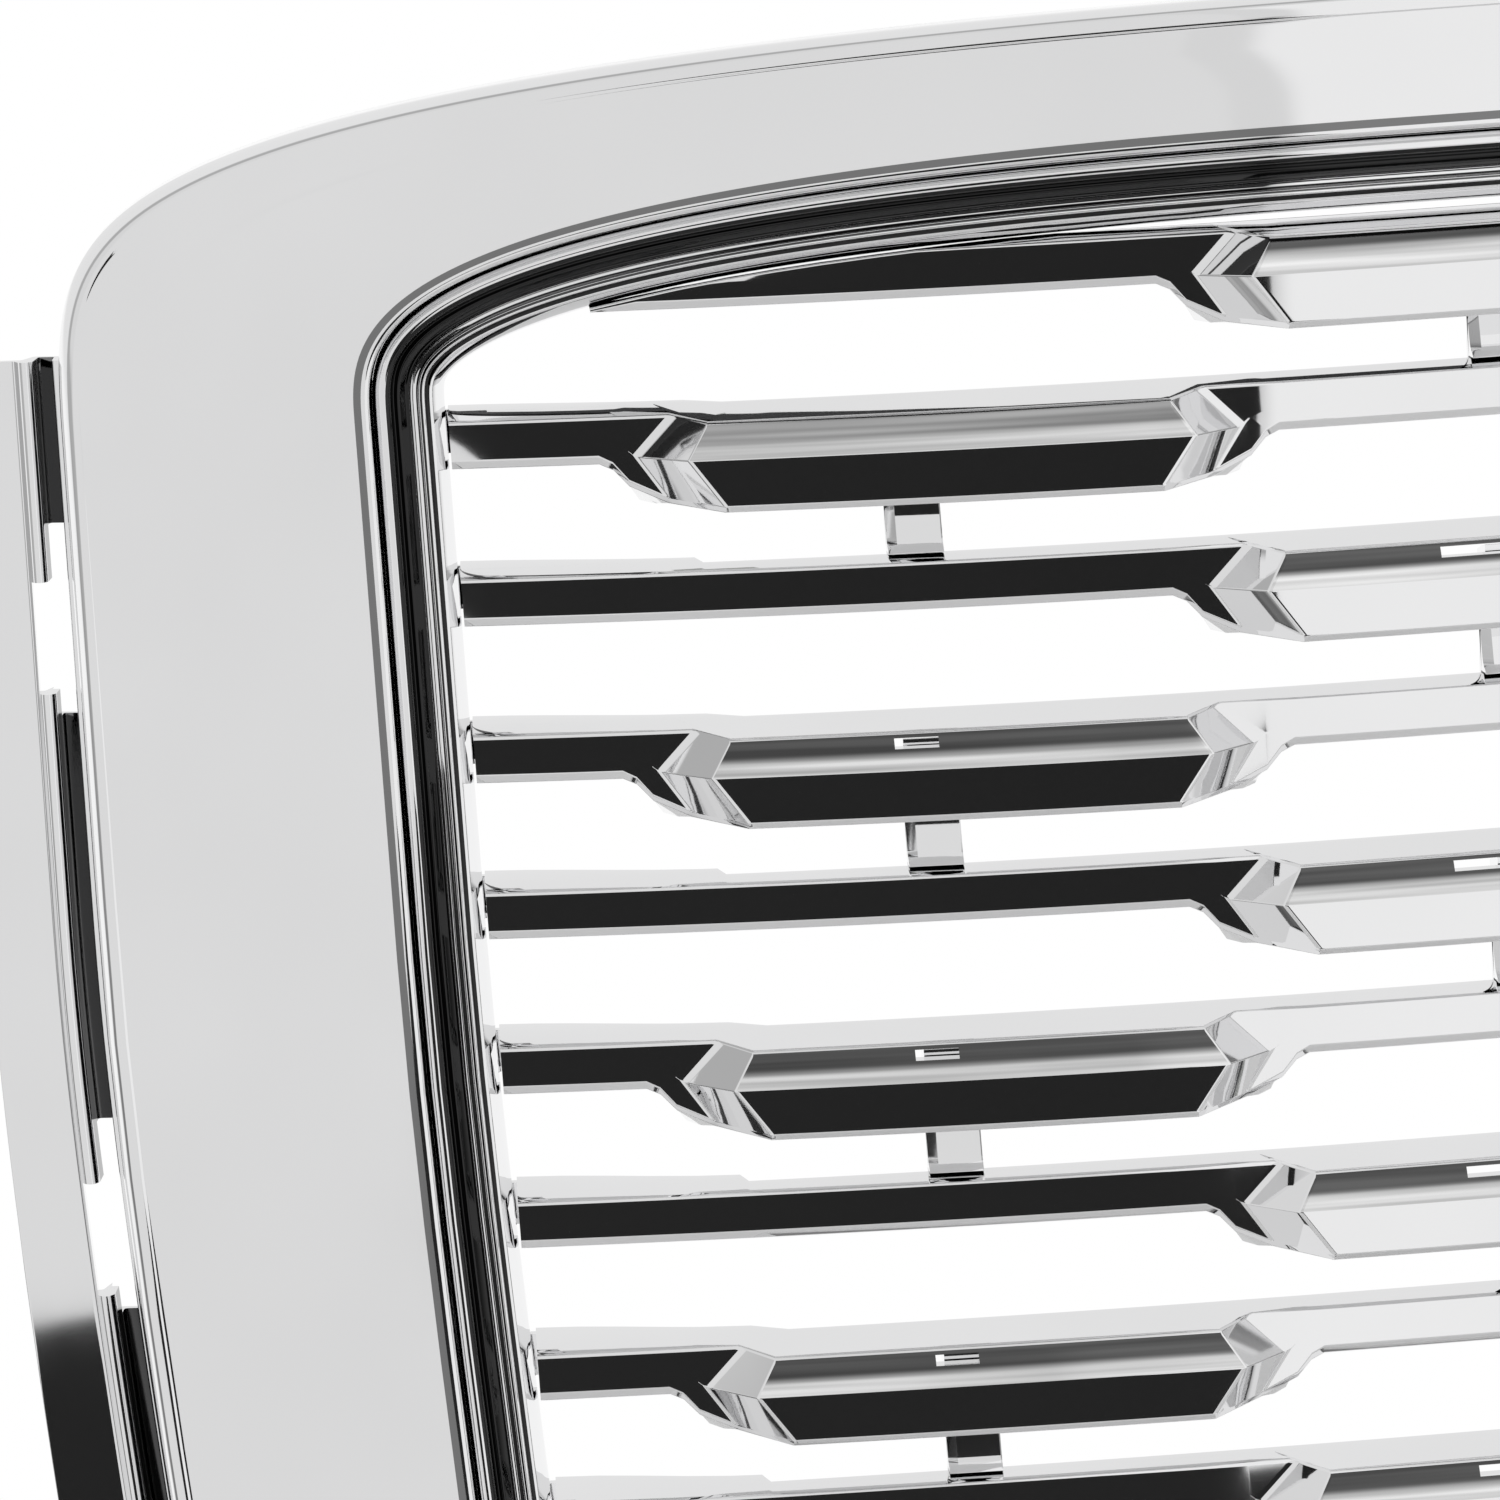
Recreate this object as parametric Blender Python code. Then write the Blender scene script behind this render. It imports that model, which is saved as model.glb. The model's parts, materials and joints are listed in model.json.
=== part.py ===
"""Front grille of a heavy truck: a chromed surround with an arched top, a stepped inner bezel, fifteen
staggered bars tied by short posts, a rear frame and two slotted side rails. X runs right, the front faces -Y
and Z is up. Sizes are in millimetres until mesh_object turns them into metres. The origin is on the centre
plane, on the ridge of the fifth bar and on the plane of the bars' front faces."""

import math

import bmesh
import bpy

MM = 0.001
GAP = 0.3

# Outlines of the surround's outer edge and of its face's inner edge: superellipse arch, straight side, corner.
OUTER = {"half_width": 528.0, "crown": 327.0, "shoulder": 165.0, "side_power": 2.36, "crown_power": 4.64,
         "bottom": -735.0, "bottom_corner": 95.0, "bottom_power": 2.9, "taper": 0.09}
INNER = {"half_width": 411.0, "crown": 279.5, "shoulder": 194.0, "side_power": 2.76, "crown_power": 2.79,
         "bottom": -660.0, "bottom_corner": 66.0, "bottom_power": 2.7, "taper": 0.06}
TAPER_BEND = 120.0
ARCH_STEPS = 10
SIDE_STEPS = 8
CORNER_STEPS = 5

# The face wraps back in plan, more at the top than at the bottom. Curvatures are per millimetre.
BOW_LOWEST = 1.0e-4
BOW_GROWTH = 1.784e-6
BOW_START = -263.0
BOW_BLEND = 80.0

# Bars
ROWS = 15
PITCH = 58.0
MIDDLE_ROW = 5
TOP_ROW_DROP = 2.5
TOP_ROW_END = 298.0
OPENING_INSET = 30.0
BEZEL_BACK = 19.5
RIDGE_HALF = 90.25
PAIR_CENTRE = 203.5
TIP_LENGTH = 18.2
TIP_DROP = 0.88
RIDGE_REACH = 16.3
WALL = 2.5
STEP_X = 292.0
FLANGE_AT_FRAME = 26.0
FLANGE_AT_STEP = 15.0
FLANGE_MIDDLE = 10.0
END_GAP = 0.9
TAB_FRONT = 22.4
TAB_BACK = 25.8
TAB_REACH = 14.0

# Posts and their latch windows
POST_WIDTH = 20.0
POST_FRONT = 3.7
POST_BACK = 9.5
PAIR_POST_X = 213.5
PAIR_WINDOW_X = 219.0
PAIR_WINDOW_WIDTH = 16.0
CENTRE_WINDOW_WIDTH = 54.0
FIRST_WINDOW_ROW = 3

# Side rails
RAIL_TOP = 212.0
RAIL_BOTTOM = -640.0
RAIL_STEPS = 12
SLOT_TOP = 149.0
SLOT_HEIGHT = 72.0
SLOT_PITCH = 225.0
SLOTS = 4
RAIL_WALL = 3.0
RIDGE_CUT_START = 10.0
RIDGE_CUT_HEIGHT = 42.0
RAIL_SCREW_Z = (180.0, 0.0, -225.0, -450.0)

# Brackets and locating pins
BRACKET_X = (-300.0, 300.0)
BRACKET_WIDTH = 36.0
PIN_X = (-260.0, 260.0)

CHROME = ("chrome", (0.80, 0.81, 0.82, 1.0), 0.06, 1.0)
DARK_PLASTIC = ("dark_plastic", (0.03, 0.03, 0.032, 1.0), 0.55, 0.0)
STEEL = ("zinc_steel", (0.55, 0.56, 0.55, 1.0), 0.35, 1.0)
RUBBER = ("rubber", (0.02, 0.02, 0.02, 1.0), 0.8, 0.0)


def clear_scene():
    for old in list(bpy.data.objects):
        bpy.data.objects.remove(old, do_unlink=True)


def material(finish):
    name, colour, roughness, metallic = finish
    made = bpy.data.materials.get(name)
    if made is None:
        made = bpy.data.materials.new(name)
        made.use_nodes = True
        shader = made.node_tree.nodes["Principled BSDF"]
        shader.inputs["Base Color"].default_value = colour
        shader.inputs["Roughness"].default_value = roughness
        shader.inputs["Metallic"].default_value = metallic
        made.diffuse_color = colour
    return made


def mesh_object(name, points, faces, finish=None):
    """Object from points in millimetres; without a finish it is a hidden cutter."""
    bm = bmesh.new()
    corners = [bm.verts.new([c * MM for c in p]) for p in points]
    for face in faces:
        bm.faces.new([corners[i] for i in face])
    bmesh.ops.recalc_face_normals(bm, faces=bm.faces)
    mesh = bpy.data.meshes.new(name)
    bm.to_mesh(mesh)
    bm.free()
    made = bpy.data.objects.new(name, mesh)
    bpy.context.scene.collection.objects.link(made)
    if finish is None:
        made.hide_render = True
        made.display_type = "WIRE"
    else:
        mesh.materials.append(material(finish))
        mesh.shade_smooth()
        mesh.set_sharp_from_angle(angle=math.radians(28))
    return made


def loft(sections, closed):
    """Points and faces of a skin through sections of equal length; an open one gets flat ends."""
    count = len(sections[0])
    points = [p for section in sections for p in section]
    faces = []
    for i in range(len(sections) if closed else len(sections) - 1):
        a, b = i * count, (i + 1) % len(sections) * count
        for j in range(count):
            k = (j + 1) % count
            faces.append((a + j, a + k, b + k, b + j))
    if not closed:
        faces.append(tuple(range(count)))
        faces.append(tuple(range(len(points) - count, len(points))))
    return points, faces


def boolean(target, tool, operation):
    added = target.modifiers.new(tool.name, "BOOLEAN")
    added.operation = operation
    added.object = tool


def bow(x, z):
    """Depth of the reference surface behind its centre line."""
    growth = BOW_BLEND * math.log1p(math.exp((z - BOW_START) / BOW_BLEND))
    return x * x / 2 * (BOW_LOWEST + BOW_GROWTH * growth)


def on_surface(x, depth, z):
    return (x, bow(x, z) + depth, z)


# ---- the outlines ----


def tapered(x, z, outline):
    narrowing = outline["taper"] * (math.hypot(min(z, 0.0), TAPER_BEND) - TAPER_BEND)
    return x * (1 - narrowing / outline["half_width"])


def left_half(outline):
    """Outline points from the crown, down the left side, to the middle of the bottom."""
    width = outline["half_width"]
    points = []
    rise = outline["crown"] - outline["shoulder"]
    for i in range(ARCH_STEPS + 1):
        angle = math.pi / 2 * (1 - i / ARCH_STEPS)
        x = width * math.cos(angle) ** (2 / outline["side_power"]) if i else 0.0
        points.append((-x, outline["shoulder"] + rise * math.sin(angle) ** (2 / outline["crown_power"])))
    corner_z = outline["bottom"] + outline["bottom_corner"]
    for i in range(1, SIDE_STEPS):
        points.append((-width, outline["shoulder"] + (corner_z - outline["shoulder"]) * i / SIDE_STEPS))
    for i in range(CORNER_STEPS + 1):
        angle = math.pi / 2 * i / CORNER_STEPS
        power = 2 / outline["bottom_power"]
        x = width * math.cos(angle) ** power if i < CORNER_STEPS else 0.0
        points.append((-x, corner_z - outline["bottom_corner"] * math.sin(angle) ** power))
    return [(tapered(x, z, outline), z) for x, z in points]


def ring(outline):
    half = left_half(outline)
    return half + [(-x, z) for x, z in reversed(half[1:-1])]


def inward(points):
    """Unit normals of a ring that point to its inside."""
    normals = []
    for i, _ in enumerate(points):
        (x0, z0), (x1, z1) = points[i - 1], points[(i + 1) % len(points)]
        length = math.hypot(x1 - x0, z1 - z0)
        normals.append((-(z1 - z0) / length, (x1 - x0) / length))
    return normals


OUTER_RING = ring(OUTER)
INNER_RING = ring(INNER)
OUTER_IN = inward(OUTER_RING)
INNER_IN = inward(INNER_RING)


def ring_point(i, kind, across, depth):
    """kind outer or inner: across is the distance inward from that edge. kind face: across runs 0 to 1."""
    (xo, zo), (xi, zi) = OUTER_RING[i], INNER_RING[i]
    if kind == "face":
        x, z = xo + (xi - xo) * across, zo + (zi - zo) * across
    else:
        x, z, (nx, nz) = (xo, zo, OUTER_IN[i]) if kind == "outer" else (xi, zi, INNER_IN[i])
        x, z = x + nx * across, z + nz * across
    return on_surface(x, depth, z)


def ring_object(name, section, finish):
    sections = [[ring_point(i, *p) for p in section] for i in range(len(OUTER_RING))]
    return mesh_object(name, *loft(sections, closed=True), finish)


def side_x(z, outline=INNER, inset=0.0):
    """Half-width of a straight side at a height."""
    return -tapered(-outline["half_width"], z, outline) - inset


def arch_z(x, inset):
    """Height of the inner arch at x, once it is moved inward by an inset."""
    moved = [(x0 + nx * inset, z0 + nz * inset) for (x0, z0), (nx, nz) in zip(INNER_RING, INNER_IN)]
    for (x0, z0), (x1, z1) in zip(moved[: ARCH_STEPS + 1], moved[1: ARCH_STEPS + 2]):
        if x1 <= -abs(x) <= x0:
            return z0 + (z1 - z0) * (x0 + abs(x)) / (x0 - x1)
    return OUTER["shoulder"]


# ---- surround, bezel and rear frame ----


def make_surround():
    section = [
        ("outer", 0.0, 26.0),
        ("outer", 0.0, 1.0),
        ("outer", 1.5, -4.0),
        ("outer", 4.0, -6.6),
        ("outer", 7.5, -7.4),
        ("outer", 9.0, -6.6),
        ("face", 0.5, -17.5),
        ("inner", -2.0, -25.6),
        ("inner", 0.8, -26.0),
        ("inner", 2.6, -24.5),
        ("inner", 3.0, -10.0),
        ("inner", 0.6, -10.0),
        ("inner", -2.4, -22.6),
        ("face", 0.5, -14.4),
        ("outer", 8.0, -3.0),
        ("outer", 3.0, 2.0),
        ("outer", 3.0, 26.0),
    ]
    return ring_object("surround", section, CHROME)


def make_bezel():
    front = [(-8.0, -9.6), (3.5, -9.6), (3.8, -17.0), (6.4, -20.6), (10.2, -19.0), (11.2, -13.6), (13.2, -14.4),
             (17.6, -8.0), (18.4, -3.6), (20.0, -3.6), (20.6, -7.4), (22.4, -8.4), (23.4, -5.0), (25.4, -4.4),
             (28.6, 1.0), (OPENING_INSET, 5.0), (OPENING_INSET, BEZEL_BACK)]
    back = [(27.4, BEZEL_BACK), (27.4, 7.0), (14.0, -2.0), (-8.0, -6.4)]
    return ring_object("inner_bezel", [("inner", w, d) for w, d in front + back], CHROME)


REAR_FRONT = TAB_BACK + 0.5
REAR_BACK = REAR_FRONT + 3.0
LEG_DEPTH = REAR_BACK + 1.8


def make_rear_frame():
    section = [
        ("face", 0.12, REAR_FRONT),
        ("face", 0.6, REAR_FRONT),
        ("inner", 29.0, REAR_FRONT),
        ("inner", 29.0, 41.0),
        ("inner", 26.0, 41.0),
        ("inner", 26.0, REAR_BACK),
        ("face", 0.6, REAR_BACK),
        ("face", 0.12, REAR_BACK),
    ]
    return ring_object("rear_frame", section, DARK_PLASTIC)


# ---- bars ----


def row_z(row):
    drop = TOP_ROW_DROP if row == 1 else 0.0
    return (MIDDLE_ROW - row) * PITCH - drop


def is_pair(row):
    return row % 2 == 0


def thick_centres(row):
    return (-PAIR_CENTRE, PAIR_CENTRE) if is_pair(row) else (0.0,)


def smooth(share):
    share = min(max(share, 0.0), 1.0)
    return share * share * (3 - 2 * share)


def bar_section(station, depth_of_flange, crest, drop, front):
    """One loft section: drop is how far the lower edge has come down, front holds the three front corners.

    Each front corner is (x shift, depth, height): the top edge, the ridge and the lower edge.
    """
    (xt, dt, zt), (xr, dr, zr), (xb, db, zb) = front
    lower = -2.7 - drop * 17.3
    return [
        (station, depth_of_flange, crest),
        (station + xt * 0.5, 4.5, crest),
        (station + xt, dt, zt),
        (station + xr, dr, zr),
        (station + xb, db, zb),
        (station + xb, db + 1.6, lower + 0.3),
        (station + xb * 0.5, 4.6, lower),
        (station, 9.0, lower + 0.8),
        (station, 9.0, lower + 0.8 + WALL),
        (station + xb, db + 3.6, lower + 0.8 + WALL),
        (station + xt * 0.6, dt + 3.0, zt - 2.0),
        (station, 6.0, crest - WALL),
        (station, depth_of_flange, crest - WALL),
    ]


PLAIN_FRONT = ((0.0, 0.0, 14.9), (0.0, 0.0, 6.0), (0.0, 0.0, 0.7))


def plain_front(drop):
    """Front corners where only the lower edge has moved."""
    return ((0.0, 0.0, 14.9), (0.0, 0.0, 6.0 - 6.0 * drop), (0.0, 0.0, 0.7 - drop * 18.7))


def arrow_stations(centre, side):
    """(x, drop, front corners) across one arrow-shaped end, from its outside to its inside."""
    tip = centre + side * (RIDGE_HALF + TIP_LENGTH)
    ridge = centre + side * RIDGE_HALF
    root = ((-side * 14.4, 0.0, 14.9), (0.0, 0.0, 0.0), (-side * 10.2, 0.0, -15.4))
    crown = ((-side * 8.2, -9.0, 12.5), (0.0, -RIDGE_REACH, 0.0), (-side * 12.0, -16.1, -17.3))
    return [
        (tip + side * 14.0, 0.0, PLAIN_FRONT),
        (tip + side * 9.0, 0.14, plain_front(0.14)),
        (tip + side * 3.5, 0.5, plain_front(0.5)),
        (tip, TIP_DROP, root),
        (ridge, 1.0, crown),
    ]


def bar_end(row):
    if row == 1:
        return TOP_ROW_END
    return side_x(row_z(row) - 3.0, INNER, OPENING_INSET + END_GAP)


def plain_stations(start, end, step=85.0):
    pieces = max(1, math.ceil(abs(end - start) / step))
    return [start + (end - start) * i / pieces for i in range(1, pieces)]


def row_stations(row):
    """Stations across a row from left to right, as (x, drop, front corners)."""
    end = bar_end(row)
    stations = [(-end, 0.0, PLAIN_FRONT)]
    for centre in thick_centres(row):
        left = arrow_stations(centre, -1)
        right = list(reversed(arrow_stations(centre, 1)))
        stations += [(x, 0.0, PLAIN_FRONT) for x in plain_stations(stations[-1][0], left[0][0])]
        stations += left
        stations += [(x, 1.0, unshifted(left[-1][2])) for x in plain_stations(left[-1][0], right[0][0])]
        stations += right
    stations += [(x, 0.0, PLAIN_FRONT) for x in plain_stations(stations[-1][0], end)]
    stations.append((end, 0.0, PLAIN_FRONT))
    return stations


def unshifted(front):
    return tuple((0.0, depth, height) for _, depth, height in front)


def add_steps(stations, row):
    """Adds the stations on both sides of the step in the top flange, where they fall on a plain stretch."""
    for side in (-1, 1):
        for x in (side * (STEP_X + 1.5), side * (STEP_X - 1.5)):
            if not is_pair(row) and abs(x) < bar_end(row) - 3:
                stations.append((x, 0.0, PLAIN_FRONT))
    return sorted(stations, key=lambda s: s[0])


def flange_depth(x, end):
    """How far back a bar's top face runs."""
    if abs(x) < STEP_X:
        return FLANGE_MIDDLE
    share = (end - abs(x)) / max(end - STEP_X, 1.0)
    return FLANGE_AT_FRAME + (FLANGE_AT_STEP - FLANGE_AT_FRAME) * smooth(share)


def crest_height(x, row):
    """Height of a bar's top face above its ridge."""
    if abs(x) > STEP_X:
        return 18.6
    return 18.0 if is_pair(row) else 17.4


def bar_skin(row):
    z_row, end = row_z(row), bar_end(row)
    sections = []
    for x, drop, front in add_steps(row_stations(row), row):
        flange = flange_depth(x, end)
        section = bar_section(x, flange, crest_height(x, row), drop, front)
        if row == 1:
            section = under_arch(section, z_row)
        sections.append([(px, bow(px, z_row) + d, z_row + z) for px, d, z in section])
    return loft(sections, closed=False)


def under_arch(section, z_row):
    """The top bar is cut off along the arch of the bezel, down to a thin wedge at its ends."""
    limit = arch_z(section[0][0], OPENING_INSET + 0.8) - z_row
    outside = [limit, limit, limit, limit - 0.8, limit - 1.6]
    hollow = [max(limit - WALL - 0.2, 1.0), max(limit - WALL, 1.2), max(limit - WALL, 1.2)]
    limits = outside + [limit] * 5 + hollow
    return [(x, depth, min(z, top)) for (x, depth, z), top in zip(section, limits)]


def make_bar(row):
    made = mesh_object(f"bar_{row:02d}", *bar_skin(row), CHROME)
    if row > 1:
        for side, name in ((-1, "left"), (1, "right")):
            boolean(made, end_tab(row, side, name), "UNION")
    if row < ROWS:
        for x, name in post_places(row):
            boolean(made, post_notch(row, x, name), "DIFFERENCE")
    if row >= FIRST_WINDOW_ROW:
        for x, width, name in window_places(row):
            boolean(made, window_cutter(row, x, width, name), "DIFFERENCE")
    return made


def prism(name, profile, x_range, row, finish=None):
    """A side profile of (depth, height) swept across a row, following its bow; without a finish, a cutter."""
    z_row = row_z(row)
    sections = [[(x, bow(x, z_row) + d, z_row + z) for d, z in profile] for x in x_range]
    return mesh_object(name, *loft(sections, closed=False), finish)


def end_tab(row, side, name):
    """Flat tab on a bar's end that lies between the bezel and the rear frame."""
    end = bar_end(row)
    profile = ((TAB_FRONT, 1.0), (TAB_BACK, 1.0), (TAB_BACK, 17.2), (TAB_FRONT, 17.2))
    return prism(f"tab_{row}_{name}", profile, (side * (end - 8.0), side * (end + TAB_REACH)), row)


def post_places(row):
    if is_pair(row):
        return ((-PAIR_POST_X, "left"), (PAIR_POST_X, "right"))
    return ((0.0, "centre"),)


def window_places(row):
    if is_pair(row):
        return ((-PAIR_WINDOW_X, PAIR_WINDOW_WIDTH, "left"), (PAIR_WINDOW_X, PAIR_WINDOW_WIDTH, "right"))
    return ((0.0, CENTRE_WINDOW_WIDTH, "centre"),)


def post_notch(row, x, name):
    """Cutter that opens the lower wall of a thick bar towards the back, where the post comes in."""
    half = POST_WIDTH / 2 + 2 * GAP
    front = POST_FRONT - 2 * GAP
    profile = ((front, -26.0), (30.0, -26.0), (30.0, -10.0), (front, -10.0))
    return prism(f"notch_{row}_{name}", profile, (x - half, x + half), row)


def window_cutter(row, x, width, name):
    profile = ((-24.0, 7.2), (-4.0, 7.2), (-4.0, 10.8), (-24.0, 10.8))
    return prism(f"window_{row}_{name}", profile, (x - width / 2, x + width / 2), row)


# ---- posts ----


def make_post(row, x, name):
    """Side profile swept across: a hook inside the thick bar, the web, a curved foot and a tongue behind."""
    below = row_z(row + 1) - row_z(row)
    foot = below + crest_height(x, row + 1) + 2 * GAP
    fillet = [(POST_FRONT - 2.6 * (1 - math.sin(a)), foot + 5.0 * (1 - math.cos(a)))
              for a in (math.radians(d) for d in (0, 30, 60, 90))]
    tongue = FLANGE_MIDDLE + 1.4
    profile = [
        (POST_BACK, -14.0),
        (POST_BACK, 6.0),
        (0.0, 8.0),
        (-5.0, 8.6),
        (-5.0, 6.8),
        (0.0, 5.0),
        (POST_FRONT, 3.0),
        *reversed(fillet),
        (tongue, foot),
        (tongue, below + 6.0),
        (tongue + 2.6, below + 6.0),
        (tongue + 2.6, foot + 4.0),
    ]
    half = POST_WIDTH / 2
    return prism(f"post_{row:02d}_{name}", profile, (x - half, x + half), row, CHROME)


# ---- side rails ----


def rail_point(z, side, outward, depth):
    x = side_x(z, OUTER) + outward
    return (side * x, bow(x, z) + depth, z)


def rail_skin(side, section, top, bottom, steps):
    heights = [top + (bottom - top) * i / steps for i in range(steps + 1)]
    return loft([[rail_point(z, side, *p) for p in section] for z in heights], closed=False)


def make_rail(side, name):
    """Flange beside the surround, a channel with slots in its floor, and a leg behind the rear frame."""
    leg_back = LEG_DEPTH + RAIL_WALL
    flange = [(46.0, 27.0), (46.0, 30.0), (17.0, 34.0)]
    channel_back = [(13.0, 46.0), (2.0, 46.0)]
    leg = [(2.0, leg_back), (-26.0, leg_back), (-52.0, leg_back),
           (-52.0, LEG_DEPTH), (-26.0, LEG_DEPTH), (4.5, LEG_DEPTH)]
    channel_front = [(4.5, 43.4), (11.0, 43.4), (12.0, 28.0)]
    ridge = [(14.5, 24.6), (17.5, 25.2), (20.0, 30.0)]
    section = flange + channel_back + leg + channel_front + ridge
    made = mesh_object(name, *rail_skin(side, section, RAIL_TOP, RAIL_BOTTOM, RAIL_STEPS), CHROME)
    floor_cut = [(5.2, 38.0), (5.2, 52.0), (14.2, 52.0), (14.2, 38.0)]
    ridge_cut = [(9.0, 20.0), (9.0, 50.0), (18.6, 50.0), (18.6, 20.0)]
    for i in range(SLOTS):
        top = SLOT_TOP - i * SLOT_PITCH
        bottom = top - SLOT_HEIGHT
        low = bottom + RIDGE_CUT_START
        slot = mesh_object(f"slot_{name}_{i}", *rail_skin(side, floor_cut, top, bottom, 1))
        boolean(made, slot, "DIFFERENCE")
        notch = mesh_object(f"lip_{name}_{i}", *rail_skin(side, ridge_cut, low + RIDGE_CUT_HEIGHT, low, 1))
        boolean(made, notch, "DIFFERENCE")
    return made


# ---- turned pieces and brackets ----


def turned(name, profile, centre, axis, finish, sides=10):
    """Solid of revolution: profile holds (along, radius) from one end to the other, with closed ends."""
    x, y, z = centre
    sections = []
    for along, radius in profile:
        circle = []
        for i in range(sides):
            angle = 2 * math.pi * i / sides
            a, b = radius * math.cos(angle), radius * math.sin(angle)
            circle.append((x + a, y + along, z + b) if axis == "Y" else (x + a, y + b, z + along))
        sections.append(circle)
    return mesh_object(name, *loft(sections, closed=False), finish)


SHORT_SCREW = [(-12.0, 2.2), (3.3, 2.5), (3.3, 6.0), (7.0, 5.0)]


def make_rail_screws(side, name, rail, frame):
    for i, z in enumerate(RAIL_SCREW_Z):
        x, y, _ = rail_point(z, side, -30.0, REAR_BACK)
        hole = turned(f"hole_{name}_{i}", [(-20.0, 3.0), (20.0, 3.0)], (x, y, z), "Y", None)
        boolean(rail, hole, "DIFFERENCE")
        boolean(frame, hole, "DIFFERENCE")
        slope = abs(bow(abs(x) + 7, z) - bow(abs(x) - 7, z)) / 2
        seat = LEG_DEPTH - REAR_BACK + 3.0 + slope + 1.2
        profile = [(-12.0, 2.2), (seat, 2.5), (seat, 7.0), (seat + 1.2, 6.8), (seat + 5.0, 4.6)]
        turned(f"screw_{name}_{i + 1}", profile, (x, y, z), "Y", STEEL)


def make_bracket(x, name, frame):
    """Angle bracket on the back of the frame; its upper leg is the fixing face."""
    z = arch_z(x, 0.0) + (OUTER["crown"] - INNER["crown"]) / 2 - 12.0
    half = BRACKET_WIDTH / 2
    y = max(bow(x - half, z + 14), bow(x + half, z + 14)) + REAR_BACK + 1.3
    profile = [(0.0, -14.0), (0.0, 14.0), (46.0, 14.0), (46.0, 11.0), (5.0, 11.0), (3.0, 9.0), (3.0, -14.0)]
    sections = [[(x + edge, y + d, z + h) for d, h in profile] for edge in (-half, half)]
    made = mesh_object(name, *loft(sections, closed=False), STEEL)
    boolean(made, turned(f"bolt_{name}", [(0.0, 4.5), (20.0, 4.5)], (x, y + 30.0, z), "Z", None), "DIFFERENCE")
    hole = turned(f"hole_{name}", [(-30.0, 3.0), (20.0, 3.0)], (x, y, z - 4.0), "Y", None)
    boolean(made, hole, "DIFFERENCE")
    boolean(frame, hole, "DIFFERENCE")
    turned(f"{name}_screw", SHORT_SCREW, (x, y, z - 4.0), "Y", STEEL)
    return made


def make_pin(x, name, frame):
    """Locating pin under the rear frame, with its rubber grommet."""
    z = INNER["bottom"] - 22.0
    y = bow(x, z) + REAR_BACK + GAP
    half = 12.0
    rear = y + abs(bow(x + half, z) - bow(x - half, z))
    profile = [(0.0, -16.0), (0.0, 16.0), (3.0, 16.0), (3.0, -13.0), (26.0, -13.0), (26.0, -16.0)]
    sections = [[(x + edge, rear + d, z + h) for d, h in profile] for edge in (-half, half)]
    made = mesh_object(f"pin_bracket_{name}", *loft(sections, closed=False), STEEL)
    pin = turned(f"stud_{name}", [(-14.5, 4.0), (-34.0, 4.0), (-37.0, 2.6)], (x, rear + 15.0, z), "Z", None)
    boolean(made, pin, "UNION")
    hole = turned(f"pin_hole_{name}", [(-30.0, 3.0), (20.0, 3.0)], (x, rear, z + 6.0), "Y", None)
    boolean(made, hole, "DIFFERENCE")
    boolean(frame, hole, "DIFFERENCE")
    turned(f"pin_screw_{name}", SHORT_SCREW, (x, rear, z + 6.0), "Y", STEEL)
    rubber_ring(f"grommet_{name}", (x, rear + 15.0, z))
    return made


def rubber_ring(name, centre, sides=12):
    x, y, z = centre
    profile = [(4.5, -17.0), (9.0, -17.0), (9.0, -20.0), (6.8, -21.5), (6.8, -24.0), (9.0, -25.5), (8.0, -30.0),
               (4.5, -30.0)]
    sections = []
    for i in range(sides):
        angle = 2 * math.pi * i / sides
        sections.append([(x + r * math.cos(angle), y + r * math.sin(angle), z + h) for r, h in profile])
    return mesh_object(name, *loft(sections, closed=True), RUBBER)


def main():
    clear_scene()
    make_surround()
    make_bezel()
    frame = make_rear_frame()
    for row in range(1, ROWS + 1):
        make_bar(row)
        if row < ROWS:
            for x, name in post_places(row):
                make_post(row, x, name)
    for side, name in ((-1, "left"), (1, "right")):
        rail = make_rail(side, f"side_rail_{name}")
        make_rail_screws(side, name, rail, frame)
    for x, name in zip(BRACKET_X, ("left", "right")):
        make_bracket(x, f"top_bracket_{name}", frame)
    for x, name in zip(PIN_X, ("left", "right")):
        make_pin(x, name, frame)


main()
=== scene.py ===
"""Looks of the chrome front grille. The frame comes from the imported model. X runs right, the front faces
-Y and Z is up. Shapes are worked out in millimetres and built in metres. They follow the model's rules with
finer steps and rounded edges, and differ a little from it at the posts, the hooks' tips, the bars' crests and
the top bar."""

import json
import math

import bmesh
import bpy
from mathutils import Matrix, Vector

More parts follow.
